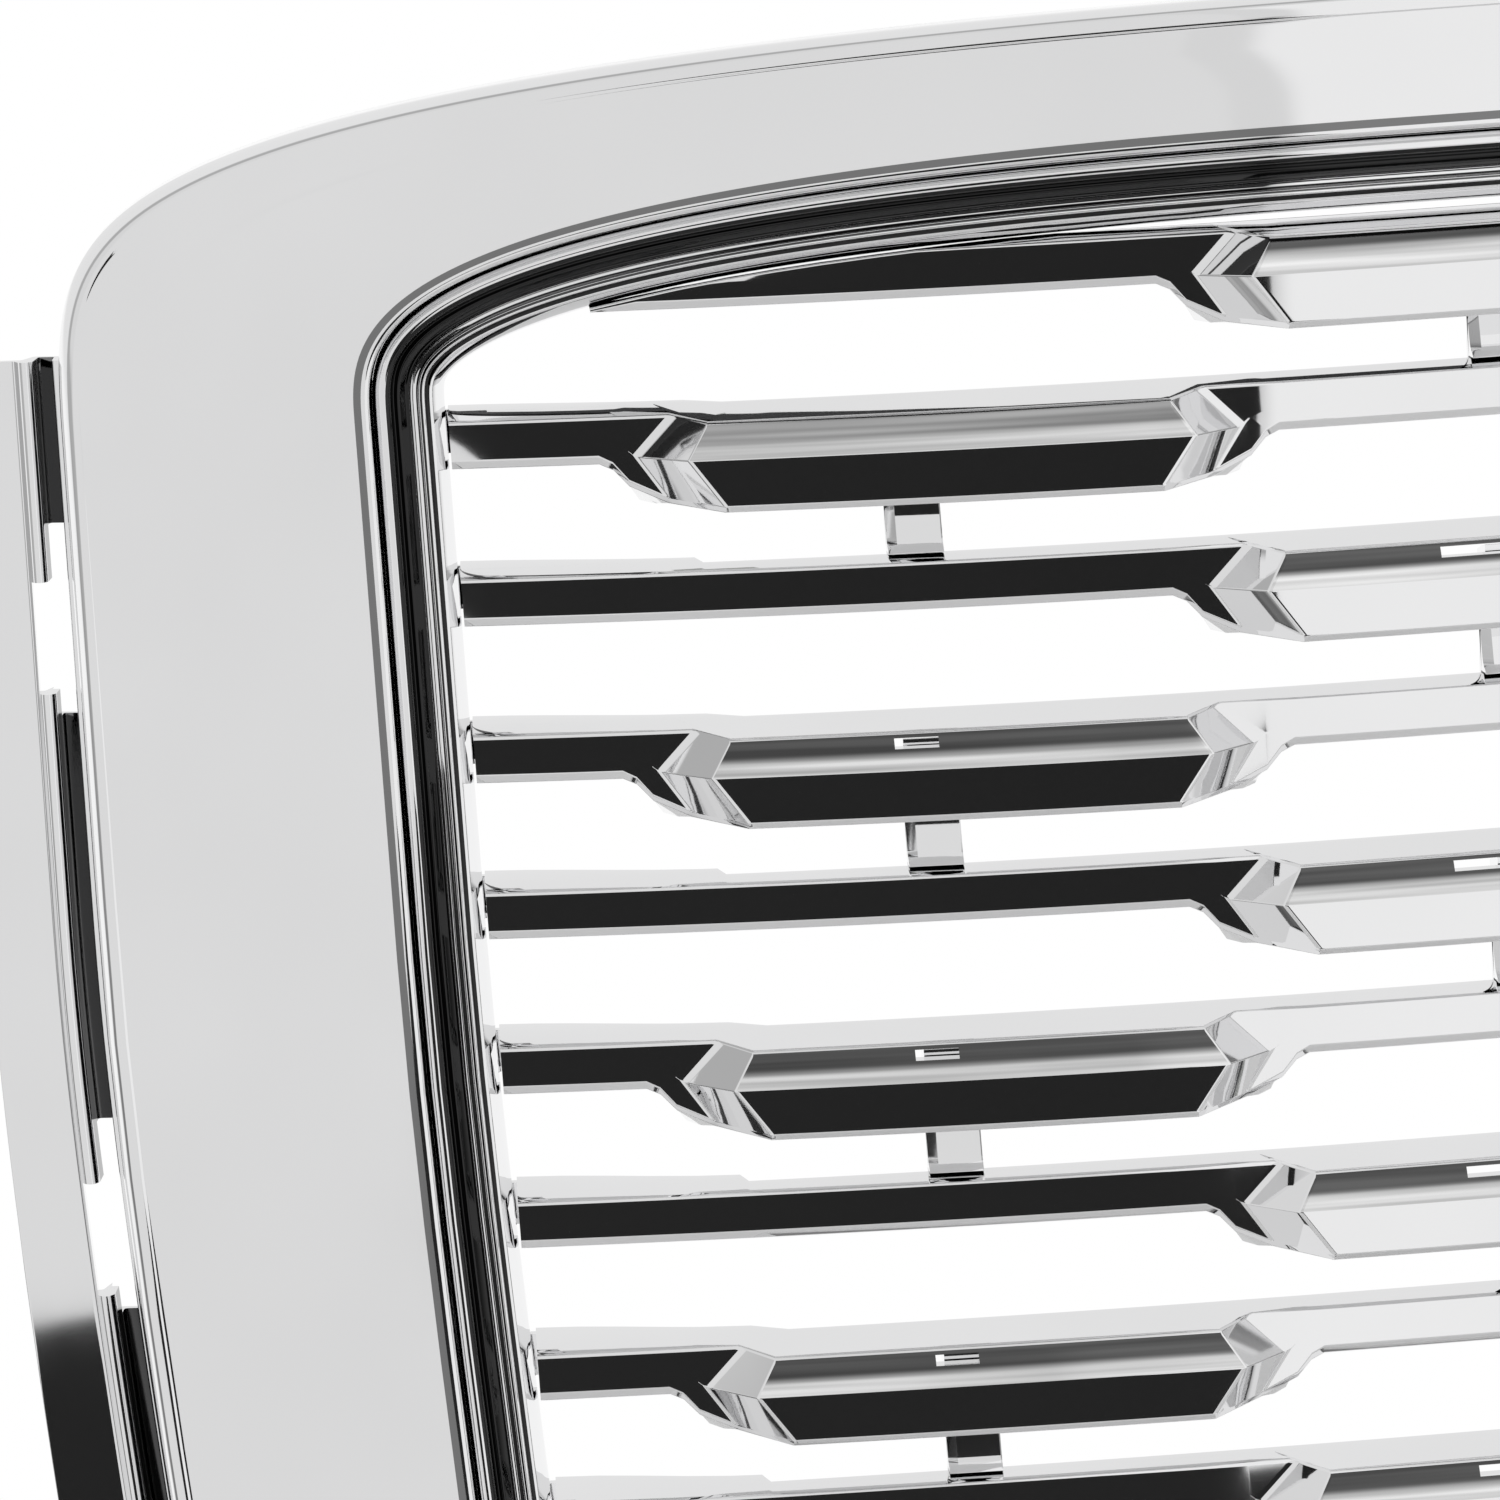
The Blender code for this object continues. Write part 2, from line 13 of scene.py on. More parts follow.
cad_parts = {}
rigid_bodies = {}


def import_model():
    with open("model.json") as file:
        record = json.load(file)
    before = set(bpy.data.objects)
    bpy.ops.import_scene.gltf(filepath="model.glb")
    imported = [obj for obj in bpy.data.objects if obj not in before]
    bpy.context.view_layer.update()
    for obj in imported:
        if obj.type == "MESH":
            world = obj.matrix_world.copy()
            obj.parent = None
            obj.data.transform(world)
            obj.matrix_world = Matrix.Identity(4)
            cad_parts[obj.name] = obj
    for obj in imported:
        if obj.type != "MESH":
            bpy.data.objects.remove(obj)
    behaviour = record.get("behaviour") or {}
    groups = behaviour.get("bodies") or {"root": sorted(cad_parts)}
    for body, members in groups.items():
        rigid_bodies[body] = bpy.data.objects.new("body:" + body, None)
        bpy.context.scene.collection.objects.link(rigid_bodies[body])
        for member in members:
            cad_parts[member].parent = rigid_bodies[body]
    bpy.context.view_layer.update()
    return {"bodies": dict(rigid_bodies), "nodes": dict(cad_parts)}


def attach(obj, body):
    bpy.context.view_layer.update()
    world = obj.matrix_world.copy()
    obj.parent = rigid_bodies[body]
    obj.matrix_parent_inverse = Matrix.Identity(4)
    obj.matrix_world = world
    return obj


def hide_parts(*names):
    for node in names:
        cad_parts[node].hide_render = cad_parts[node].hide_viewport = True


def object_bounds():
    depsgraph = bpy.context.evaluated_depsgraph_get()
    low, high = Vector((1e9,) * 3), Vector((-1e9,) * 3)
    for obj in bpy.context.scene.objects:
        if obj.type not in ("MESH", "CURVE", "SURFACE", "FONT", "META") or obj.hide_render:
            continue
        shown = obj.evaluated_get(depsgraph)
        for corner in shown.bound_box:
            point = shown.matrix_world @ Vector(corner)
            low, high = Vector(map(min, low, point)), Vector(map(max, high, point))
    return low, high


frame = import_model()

BODY = next(iter(frame["bodies"]))
MM = 0.001

# ---- driving dimensions, in millimetres ----

OUTER = {"half_width": 528.0, "crown": 327.0, "shoulder": 165.0, "side_power": 2.36, "crown_power": 4.64,
         "bottom": -735.0, "bottom_corner": 95.0, "bottom_power": 2.9, "taper": 0.09}
INNER = {"half_width": 411.0, "crown": 279.5, "shoulder": 194.0, "side_power": 2.76, "crown_power": 2.79,
         "bottom": -660.0, "bottom_corner": 66.0, "bottom_power": 2.7, "taper": 0.06}
TAPER_BEND = 120.0
ARCH_STEPS = 84
SIDE_STEPS = 16
CORNER_STEPS = 24

BOW_LOWEST = 1.0e-4
BOW_GROWTH = 1.784e-6
BOW_START = -263.0
BOW_BLEND = 80.0

ROWS = 15
PITCH = 58.0
MIDDLE_ROW = 5
TOP_ROW_DROP = 2.5
TOP_ROW_END = 325.0
TOP_ROW_THINNEST = -0.6
OPENING_INSET = 30.0
ARCH_GAP = 0.3
BEZEL_BACK = 19.5
RIDGE_HALF = 90.25
PAIR_CENTRE = 203.5
TIP_LENGTH = 18.2
ARROW_START = 14.0
ARROW_CURVE = ((9.0, 0.14), (3.5, 0.5))
ARROW_INSIDE = 14.0
TIP_DROP = 0.88
RIDGE_REACH = 16.3
WALL = 2.5
LIP_HEIGHT = -2.7
THICK_DROP = 17.3
ROOT_HEIGHT = 14.9
CREST_SLOPE = 1.8
CREST_BY_FRAME = 18.6
CREST_OF_PAIR = 18.0
CREST_OF_CENTRE = 17.4
STEP_X = 292.0
FLANGE_AT_FRAME = 26.0
FLANGE_AT_STEP = 15.0
FLANGE_MIDDLE = 10.0
END_GAP = 0.9
TAB_FRONT = 22.4
TAB_BACK = 25.8
TAB_BOTTOM = 1.0
TAB_TOP = 17.2
TAB_OVERLAP = 8.0
TAB_REACH = 14.0
STATION_STEP = 17.0
CREST_ROUND = 3.0
EDGE_ROUND = 0.8
FINE_ROUND = 0.4
ARROW_ROUND = 1.0
TIP_ROUND = 2.0

POST_WIDTH = 20.0
POST_FRONT = 3.7
POST_BACK = 9.5
POST_GAP = 0.6
POST_LEAN = 6.2
POST_CHAMFER = 3.4
PAIR_POST_X = 213.5
PAIR_WINDOW_X = 219.0
PAIR_WINDOW_WIDTH = 16.0
CENTRE_WINDOW_WIDTH = 54.0
FIRST_WINDOW_ROW = 3
WINDOW_FRONT = -24.0
WINDOW_BACK = -4.0
WINDOW_BOTTOM = 7.2
WINDOW_TOP = 10.8
NOTCH_BOTTOM = -26.0
NOTCH_TOP = -10.0
NOTCH_BACK = 30.0

REAR_BACK = TAB_BACK + 3.5
LEG_DEPTH = REAR_BACK + 1.8
RAIL_TOP = 212.0
RAIL_BOTTOM = -640.0
RAIL_STEPS = 60
RAIL_WALL = 3.0
SLOT_TOP = 149.0
SLOT_HEIGHT = 72.0
SLOT_PITCH = 225.0
SLOTS = 4
RAIL_SCREW_Z = (180.0, 0.0, -225.0, -450.0)
RAIL_SCREW_INWARD = 30.0
HOLE_RADIUS = 3.0
HOLE_REACH = 20.0
HOLE_SIDES = 24
RIDGE_CUT_START = 10.0
RIDGE_CUT_HEIGHT = 42.0

# Steps in each rounded corner of a section.
SURROUND_CURVE_STEPS = 5
BEZEL_CURVE_STEPS = 4
POST_CURVE_STEPS = 4
RAIL_CURVE_STEPS = 3

# Corners of a section, counted from 0, after which a darker chrome paints in shade and dark reflections.
SURROUND_DARK = (7,)
BEZEL_DARK = (3, 4, 5, 8, 11)
RAIL_DARK = (11, 12)

# ---- materials ----


def level(tree, source, start, end, low=0.0, high=1.0):
    """Socket that goes smoothly from low to high while the source goes from start to end."""
    made = tree.nodes.new("ShaderNodeMapRange")
    made.interpolation_type = "SMOOTHSTEP"
    made.inputs["From Min"].default_value = start
    made.inputs["From Max"].default_value = end
    made.inputs["To Min"].default_value = low
    made.inputs["To Max"].default_value = high
    tree.links.new(source, made.inputs["Value"])
    return made.outputs["Result"]


def combine(tree, operation, *values):
    """One socket from several by a math operation; a number stands for a constant."""
    result = values[0]
    for value in values[1:]:
        made = tree.nodes.new("ShaderNodeMath")
        made.operation = operation
        for socket, source in zip(made.inputs, (result, value)):
            if isinstance(source, (int, float)):
                socket.default_value = source
            else:
                tree.links.new(source, socket)
        result = made.outputs["Value"]
    return result


def new_material(name, colour, roughness, metallic):
    made = bpy.data.materials.new(name)
    made.use_nodes = True
    shader = made.node_tree.nodes["Principled BSDF"]
    shader.inputs["Base Color"].default_value = (*colour, 1.0)
    shader.inputs["Roughness"].default_value = roughness
    shader.inputs["Metallic"].default_value = metallic
    return made


def noise_value(tree, scale, detail, low, high, stretch=(1.0, 1.0, 1.0)):
    """Output socket of a noise that runs from low to high. Scale is in waves per metre."""
    place = tree.nodes.new("ShaderNodeTexCoord")
    mapping = tree.nodes.new("ShaderNodeMapping")
    mapping.inputs["Scale"].default_value = stretch
    noise = tree.nodes.new("ShaderNodeTexNoise")
    noise.inputs["Scale"].default_value = scale
    noise.inputs["Detail"].default_value = detail
    spread = tree.nodes.new("ShaderNodeMapRange")
    spread.inputs["From Min"].default_value = 0.3
    spread.inputs["From Max"].default_value = 0.7
    spread.inputs["To Min"].default_value = low
    spread.inputs["To Max"].default_value = high
    tree.links.new(place.outputs["Object"], mapping.inputs["Vector"])
    tree.links.new(mapping.outputs["Vector"], noise.inputs["Vector"])
    tree.links.new(noise.outputs["Fac"], spread.inputs["Value"])
    return spread.outputs["Result"]


def vary_roughness(made, scale, low, high):
    tree = made.node_tree
    shader = tree.nodes["Principled BSDF"]
    tree.links.new(noise_value(tree, scale, 3.0, low, high), shader.inputs["Roughness"])


def vary_colour(made, scale, dark, light):
    tree = made.node_tree
    mix = tree.nodes.new("ShaderNodeMix")
    mix.data_type = "RGBA"
    mix.inputs["A"].default_value = (*dark, 1.0)
    mix.inputs["B"].default_value = (*light, 1.0)
    tree.links.new(noise_value(tree, scale, 2.0, 0.0, 1.0), mix.inputs["Factor"])
    tree.links.new(mix.outputs["Result"], tree.nodes["Principled BSDF"].inputs["Base Color"])


def add_bump(made, scale, detail, height, stretch=(1.0, 1.0, 1.0)):
    """Height is the depth of the relief in metres."""
    tree = made.node_tree
    bump = tree.nodes.new("ShaderNodeBump")
    bump.inputs["Distance"].default_value = height
    bump.inputs["Strength"].default_value = 1.0
    tree.links.new(noise_value(tree, scale, detail, 0.0, 1.0, stretch), bump.inputs["Height"])
    tree.links.new(bump.outputs["Normal"], tree.nodes["Principled BSDF"].inputs["Normal"])


def chrome_material(name, low, high, waviness, tint=0.89):
    """Bright plating: nearly a mirror, with faint haze and the slow waviness of a moulding under it."""
    made = new_material(name, (tint, tint, tint), low, 1.0)
    dark = (tint * 0.98, tint * 0.98, tint * 0.985)
    light = (tint * 1.01, tint * 1.01, tint * 1.015)
    vary_colour(made, 9.0, dark, light)
    vary_roughness(made, 14.0, low, high)
    add_bump(made, 22.0, 1.0, waviness)
    return made


# Painted dark reflections and streaks on the bars' upper facets. Heights are in metres, and shares are of one
# row's pitch.
BROW_DARK = 0.86
BROW_PALE = 0.45
BROW_SHIFT = 0.086
BROW_EDGE = (0.14, 0.20)
PALE_ROW_BELOW = (0.12, 0.16)
PALE_ROW_ABOVE = (0.19, 0.21)


def painted_reflection_brow_material():
    """Chrome with painted reflections: streaked along each bar and painted dark from just above its ridge to
    its crest. A point's share of the way to the next row says where it lies on its bar. The second row from
    the top is less dark."""
    made = new_material("brow_painted_reflection_chrome", (0.8, 0.8, 0.8), 0.03, 1.0)
    tree = made.node_tree
    place = tree.nodes.new("ShaderNodeTexCoord")
    split = tree.nodes.new("ShaderNodeSeparateXYZ")
    tree.links.new(place.outputs["Object"], split.inputs["Vector"])
    height = split.outputs["Z"]
    rows_up = combine(tree, "DIVIDE", height, PITCH * MM)
    share = combine(tree, "FRACT", combine(tree, "ADD", rows_up, BROW_SHIFT), 0.0)
    lower_rows = level(tree, height, *PALE_ROW_BELOW, BROW_DARK, BROW_PALE)
    top_row = level(tree, height, *PALE_ROW_ABOVE, 0.0, BROW_DARK)
    strength = combine(tree, "MAXIMUM", lower_rows, top_row)
    # How dark the painted reflection is at each point.
    depth = combine(tree, "MULTIPLY", level(tree, share, *BROW_EDGE), strength)
    # Painted reflection streaks along the bars.
    painted_streak = noise_value(tree, 420.0, 1.0, 0.55, 1.0, (0.012, 0.012, 1.0))
    tint = combine(tree, "MULTIPLY", combine(tree, "SUBTRACT", 1.0, depth), painted_streak, 0.95)
    tree.links.new(tint, tree.nodes["Principled BSDF"].inputs["Base Color"])
    vary_roughness(made, 14.0, 0.03, 0.06)
    return made


def plastic_material():
    made = new_material("black_plastic", (0.03, 0.03, 0.032), 0.5, 0.0)
    vary_colour(made, 30.0, (0.024, 0.024, 0.026), (0.038, 0.038, 0.04))
    vary_roughness(made, 90.0, 0.42, 0.62)
    add_bump(made, 900.0, 2.0, 0.00008)
    return made


def zinc_material():
    made = new_material("zinc_plate", (0.55, 0.56, 0.55), 0.35, 1.0)
    vary_colour(made, 60.0, (0.47, 0.48, 0.47), (0.62, 0.63, 0.60))
    vary_roughness(made, 160.0, 0.26, 0.46)
    add_bump(made, 400.0, 2.0, 0.00003, stretch=(1.0, 8.0, 1.0))
    return made


def rubber_material():
    made = new_material("grommet_rubber", (0.02, 0.02, 0.02), 0.8, 0.0)
    vary_colour(made, 80.0, (0.015, 0.015, 0.015), (0.032, 0.031, 0.03))
    vary_roughness(made, 200.0, 0.65, 0.9)
    add_bump(made, 700.0, 2.0, 0.00006)
    return made


FACE_CHROME = chrome_material("surround_chrome", 0.035, 0.06, 0.00002)
BAR_CHROME = chrome_material("bar_chrome", 0.02, 0.04, 0.000008)
# Near-black chrome: painted shade and dark reflections in the bezel's grooves.
GROOVE_PAINTED_SHADE = chrome_material("groove_painted_shade_chrome", 0.04, 0.08, 0.000008, 0.035)
# Dark grey chrome: a painted dark reflection on the surround's inner roll, and painted shade on the rails'
# channel floors.
PAINTED_DARK_REFLECTION = chrome_material("painted_dark_reflection_chrome", 0.05, 0.08, 0.000008, 0.22)
# Chrome with painted dark reflections and streaks on the bars' upper facets.
BROW_PAINTED_REFLECTION = painted_reflection_brow_material()
POST_CHROME = chrome_material("post_chrome", 0.03, 0.06, 0.00001)
RAIL_CHROME = chrome_material("rail_chrome", 0.05, 0.09, 0.00002)
PLASTIC = plastic_material()
ZINC = zinc_material()
RUBBER = rubber_material()

# ---- mesh helpers ----

SHARP_ANGLE = math.radians(32)
POST_SHARP_ANGLE = math.radians(30)
BEVEL_ANGLE = math.radians(28)


def mesh_object(name, points, faces, finish=None):
    """Object from points in millimetres. One without a finish cuts another or is joined into it."""
    bm = bmesh.new()
    corners = [bm.verts.new([c * MM for c in p]) for p in points]
    for face in faces:
        bm.faces.new([corners[i] for i in face])
    bmesh.ops.recalc_face_normals(bm, faces=bm.faces)
    mesh = bpy.data.meshes.new(name)
    bm.to_mesh(mesh)
    bm.free()
    made = bpy.data.objects.new(name, mesh)
    bpy.context.scene.collection.objects.link(made)
    if finish is not None:
        mesh.materials.append(finish)
        mesh.shade_smooth()
    return made


def loft(sections, closed):
    """Points and faces of a skin through sections of equal length; an open one gets flat ends."""
    count = len(sections[0])
    points = [p for section in sections for p in section]
    faces = []
    for i in range(len(sections) if closed else len(sections) - 1):
        a, b = i * count, (i + 1) % len(sections) * count
        for j in range(count):
            k = (j + 1) % count
            faces.append((a + j, a + k, b + k, b + j))
    if not closed:
        faces.append(tuple(range(count)))
        faces.append(tuple(range(len(points) - count, len(points))))
    return points, faces


def rounded(points, radii, steps):
    """A closed outline whose corners are short curves. Each starts its radius before the corner."""
    made = []
    for i, corner in enumerate(points):
        here = Vector(corner)
        before = Vector(points[i - 1]) - here
        after = Vector(points[(i + 1) % len(points)]) - here
        start = here + before * min(radii[i] / before.length, 0.45)
        end = here + after * min(radii[i] / after.length, 0.45)
        for j in range(steps + 1):
            t = j / steps
            made.append(tuple(start * (1 - t) ** 2 + here * 2 * t * (1 - t) + end * t ** 2))
    return made


def bevel(made, width):
    added = made.modifiers.new("Edges", "BEVEL")
    added.width = width * MM
    added.segments = 3
    added.limit_method = "ANGLE"
    added.angle_limit = BEVEL_ANGLE
    added.use_clamp_overlap = False


def weighted_bevel(made, widths):
    """Bevels each edge by its own width in millimetres; widths gives it for the edge's two point numbers."""
    edges = made.data.edges
    wanted = [widths(*sorted(edge.vertices)) for edge in edges]
    widest = max(wanted)
    weights = made.data.attributes.new("bevel_weight_edge", "FLOAT", "EDGE")
    for item, width in zip(weights.data, wanted):
        item.value = width / widest
    added = made.modifiers.new("Edges", "BEVEL")
    added.width = widest * MM
    added.segments = 4
    added.limit_method = "WEIGHT"
    added.use_clamp_overlap = False


def even_normals(made):
    added = made.modifiers.new("Normals", "WEIGHTED_NORMAL")
    added.mode = "FACE_AREA"
    added.weight = 50
    added.keep_sharp = True


def cut(made, tools):
    for tool in tools:
        added = made.modifiers.new(tool.name, "BOOLEAN")
        added.operation = "DIFFERENCE"
        added.solver = "EXACT"
        added.object = tool


def settle(made):
    """Turns the modifiers into plain mesh and marks its sharp edges."""
    bpy.context.view_layer.update()
    graph = bpy.context.evaluated_depsgraph_get()
    mesh = bpy.data.meshes.new_from_object(made.evaluated_get(graph))
    made.modifiers.clear()
    made.data = mesh
    mesh.set_sharp_from_angle(angle=SHARP_ANGLE)


def finish_piece(made, slot, *nodes):
    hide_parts(*nodes)
    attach(made, BODY)


def drop_tools(tools):
    for tool in tools:
        bpy.data.objects.remove(tool, do_unlink=True)


# ---- reference surface and outlines ----


def bow(x, z):
    """Depth of the reference surface behind its centre line."""
    growth = BOW_BLEND * math.log1p(math.exp((z - BOW_START) / BOW_BLEND))
    return x * x / 2 * (BOW_LOWEST + BOW_GROWTH * growth)


def tapered(x, z, outline):
    narrowing = outline["taper"] * (math.hypot(min(z, 0.0), TAPER_BEND) - TAPER_BEND)
    return x * (1 - narrowing / outline["half_width"])


def left_half(outline):
    """Outline points from the crown, down the left side, to the middle of the bottom."""
    width = outline["half_width"]
    points = []
    rise = outline["crown"] - outline["shoulder"]
    for i in range(ARCH_STEPS + 1):
        angle = math.pi / 2 * (1 - i / ARCH_STEPS)
        x = width * math.cos(angle) ** (2 / outline["side_power"]) if i else 0.0
        points.append((-x, outline["shoulder"] + rise * math.sin(angle) ** (2 / outline["crown_power"])))
    corner_z = outline["bottom"] + outline["bottom_corner"]
    for i in range(1, SIDE_STEPS):
        points.append((-width, outline["shoulder"] + (corner_z - outline["shoulder"]) * i / SIDE_STEPS))
    for i in range(CORNER_STEPS + 1):
        angle = math.pi / 2 * i / CORNER_STEPS
        power = 2 / outline["bottom_power"]
        x = width * math.cos(angle) ** power if i < CORNER_STEPS else 0.0
        points.append((-x, corner_z - outline["bottom_corner"] * math.sin(angle) ** power))
    return [(tapered(x, z, outline), z) for x, z in points]


def ring(outline):
    half = left_half(outline)
    return half + [(-x, z) for x, z in reversed(half[1:-1])]


def inward(points):
    """Unit normals of a ring that point to its inside."""
    normals = []
    for i, _ in enumerate(points):
        (x0, z0), (x1, z1) = points[i - 1], points[(i + 1) % len(points)]
        length = math.hypot(x1 - x0, z1 - z0)
        normals.append((-(z1 - z0) / length, (x1 - x0) / length))
    return normals


OUTER_RING = ring(OUTER)
INNER_RING = ring(INNER)
OUTER_IN = inward(OUTER_RING)
INNER_IN = inward(INNER_RING)


def ring_point(i, kind, across, depth):
    """kind outer or inner: across is the distance inward from that edge. kind face: across runs 0 to 1."""
    (xo, zo), (xi, zi) = OUTER_RING[i], INNER_RING[i]
    if kind == "face":
        x, z = xo + (xi - xo) * across, zo + (zi - zo) * across
    else:
        x, z, (nx, nz) = (xo, zo, OUTER_IN[i]) if kind == "outer" else (xi, zi, INNER_IN[i])
        x, z = x + nx * across, z + nz * across
    return (x, bow(x, z) + depth, z)


def shade_corners(made, corner_count, steps, shaded, shade):
    """Paints shade on a skin: a darker chrome, standing for shade and dark reflections, on the faces between
    a shaded corner and the next one.
    """
    made.data.materials.append(shade)
    for face in made.data.polygons:
        corner = face.index // (steps + 1) % corner_count
        face.material_index = 1 if corner in shaded else 0


def ring_piece(name, section, finish, steps, shaded, shade):
    """A ring from corners of (kind, across, depth, corner radius), with painted shade and dark reflections
    after each shaded corner.
    """
    radii = [corner[3] for corner in section]
    sections = []
    for i in range(len(OUTER_RING)):
        sections.append(rounded([ring_point(i, *corner[:3]) for corner in section], radii, steps))
    made = mesh_object(name, *loft(sections, closed=True), finish)
    shade_corners(made, len(section), steps, shaded, shade)
    return made


def side_x(z, outline, inset=0.0):
    """Half-width of an outline's straight sides at a height, once they are moved inward by an inset."""
    return -tapered(-outline["half_width"], z, outline) - inset


def arch_z(x, inset):
    """Height of the inner arch at x, once it is moved inward by an inset."""
    moved = [(x0 + nx * inset, z0 + nz * inset) for (x0, z0), (nx, nz) in zip(INNER_RING, INNER_IN)]
    for (x0, z0), (x1, z1) in zip(moved[: ARCH_STEPS + 1], moved[1: ARCH_STEPS + 2]):
        if x1 <= -abs(x) <= x0:
            return z0 + (z1 - z0) * (x0 + abs(x)) / (x0 - x1)
    return OUTER["shoulder"]


# ---- surround and bezel ----


def make_surround():
    section = [
        ("outer", 0.0, 26.0, 0.8),
        ("outer", 0.0, 1.0, 2.5),
        ("outer", 1.5, -4.0, 2.5),
        ("outer", 4.0, -6.6, 2.0),
        ("outer", 7.5, -7.4, 1.0),
        ("outer", 9.0, -6.6, 0.7),
        ("face", 0.5, -17.5, 40.0),
        ("inner", -2.0, -25.6, 1.4),
        ("inner", 0.8, -26.0, 1.4),
        ("inner", 2.6, -24.5, 1.2),
        ("inner", 3.0, -10.0, 0.4),
        ("inner", 0.6, -10.0, 0.4),
        ("inner", -2.4, -22.6, 1.0),
        ("face", 0.5, -14.4, 30.0),
        ("outer", 8.0, -3.0, 2.0),
        ("outer", 3.0, 2.0, 2.0),
        ("outer", 3.0, 26.0, 0.8),
    ]
    steps = SURROUND_CURVE_STEPS
    # Corner 7, at the inner roll, gets a painted dark reflection.
    made = ring_piece("surround_skin", section, FACE_CHROME, steps, SURROUND_DARK, PAINTED_DARK_REFLECTION)
    finish_piece(made, "chrome", "surround")


def make_bezel():
    bead = [(3.5, -9.6, 0.5), (3.8, -17.0, 1.2), (6.4, -20.6, 2.6), (10.2, -19.0, 2.2), (11.2, -13.6, 0.8)]
    groove = [(13.2, -14.4, 0.9), (17.6, -8.0, 0.8), (18.4, -3.6, 0.4), (20.0, -3.6, 0.4)]
    steps = [(20.6, -7.4, 0.7), (22.4, -8.4, 0.8), (23.4, -5.0, 0.5), (25.4, -4.4, 0.8), (28.6, 1.0, 1.5)]
    wall = [(OPENING_INSET, 5.0, 1.5), (OPENING_INSET, BEZEL_BACK, 0.5), (27.4, BEZEL_BACK, 0.5)]
    back = [(27.4, 7.0, 2.0), (14.0, -2.0, 3.0), (-8.0, -6.4, 0.5), (-8.0, -9.6, 0.5)]
    corners = bead + groove + steps + wall + back
    section = [("inner", *corner) for corner in corners]
    # The bezel's grooves get painted shade and dark reflections.
    made = ring_piece("bezel_skin", section, BAR_CHROME, BEZEL_CURVE_STEPS, BEZEL_DARK, GROOVE_PAINTED_SHADE)
    finish_piece(made, "chrome", "inner_bezel")


# ---- bars ----


def row_z(row):
    drop = TOP_ROW_DROP if row == 1 else 0.0
    return (MIDDLE_ROW - row) * PITCH - drop


def is_pair(row):
    return row % 2 == 0


def thick_centres(row):
    return (-PAIR_CENTRE, PAIR_CENTRE) if is_pair(row) else (0.0,)


def smooth(share):
    share = min(max(share, 0.0), 1.0)
    return share * share * (3 - 2 * share)


def bar_section(station, depth_of_flange, crest, drop, front):
    """One loft section. Drop is how far the lower edge has come down; front holds three front corners."""
    (xt, dt, zt), (xr, dr, zr), (xb, db, zb) = front
    lower = LIP_HEIGHT - drop * THICK_DROP
    return [
        (station, depth_of_flange, crest),
        (station + xt * 0.5, (crest - ROOT_HEIGHT) * CREST_SLOPE, crest),
        (station + xt, dt, zt),
        (station + xr, dr, zr),
        (station + xb, db, zb),
        (station + xb, db + 1.6, lower + 0.3),
        (station + xb * 0.5, 4.6, lower),
        (station, 9.0, lower + 0.8),
        (station, 9.0, lower + 0.8 + WALL),
        (station + xb, db + 3.6, lower + 0.8 + WALL),
        (station + xt * 0.6, dt + 3.0, zt - 2.0),
        (station, 6.0, crest - WALL),
        (station, depth_of_flange, crest - WALL),
    ]


PLAIN_FRONT = ((0.0, 0.0, ROOT_HEIGHT), (0.0, 0.0, 6.0), (0.0, 0.0, 0.7))


def plain_front(drop):
    """Front corners where only the lower edge has moved."""
    return ((0.0, 0.0, ROOT_HEIGHT), (0.0, 0.0, 6.0 - 6.0 * drop), (0.0, 0.0, 0.7 - drop * 18.7))


def arrow_stations(centre, side):
    """(x, drop, front corners) across one arrow-shaped end, from its outside to its inside."""
    tip = centre + side * (RIDGE_HALF + TIP_LENGTH)
    ridge = centre + side * RIDGE_HALF
    root = ((-side * 14.4, 0.0, ROOT_HEIGHT), (0.0, 0.0, 0.0), (-side * 10.2, 0.0, -15.4))
    crown = ((-side * 8.2, -9.0, 12.5), (0.0, -RIDGE_REACH, 0.0), (-side * 12.0, -16.1, -17.3))
    return [
        (tip + side * ARROW_START, 0.0, PLAIN_FRONT),
        *((tip + side * away, drop, plain_front(drop)) for away, drop in ARROW_CURVE),
        (tip, TIP_DROP, root),
        (ridge, 1.0, crown),
    ]


def bar_end(row):
    if row == 1:
        return TOP_ROW_END
    return side_x(row_z(row) - 3.0, INNER, OPENING_INSET + END_GAP)


def plain_stations(start, end):
    """Evenly spaced stations between two ends, which are left out."""
    pieces = max(1, math.ceil(abs(end - start) / STATION_STEP))
    return [start + (end - start) * i / pieces for i in range(1, pieces)]


def unshifted(front):
    """Front corners without their shift along the bar."""
    return tuple((0.0, depth, height) for _, depth, height in front)


def row_stations(row):
    """Stations across a row from left to right, as (x, drop, front corners)."""
    end = bar_end(row)
    stations = [(-end, 0.0, PLAIN_FRONT)]
    for centre in thick_centres(row):
        left = arrow_stations(centre, -1)
        right = list(reversed(arrow_stations(centre, 1)))
        stations += [(x, 0.0, PLAIN_FRONT) for x in plain_stations(stations[-1][0], left[0][0])]
        stations += left
        inner_left, inner_right = left[-1][0] + ARROW_INSIDE, right[0][0] - ARROW_INSIDE
        for x in [inner_left, *plain_stations(inner_left, inner_right), inner_right]:
            stations.append((x, 1.0, unshifted(left[-1][2])))
        stations += right
    stations += [(x, 0.0, PLAIN_FRONT) for x in plain_stations(stations[-1][0], end)]
    stations.append((end, 0.0, PLAIN_FRONT))
    return stations


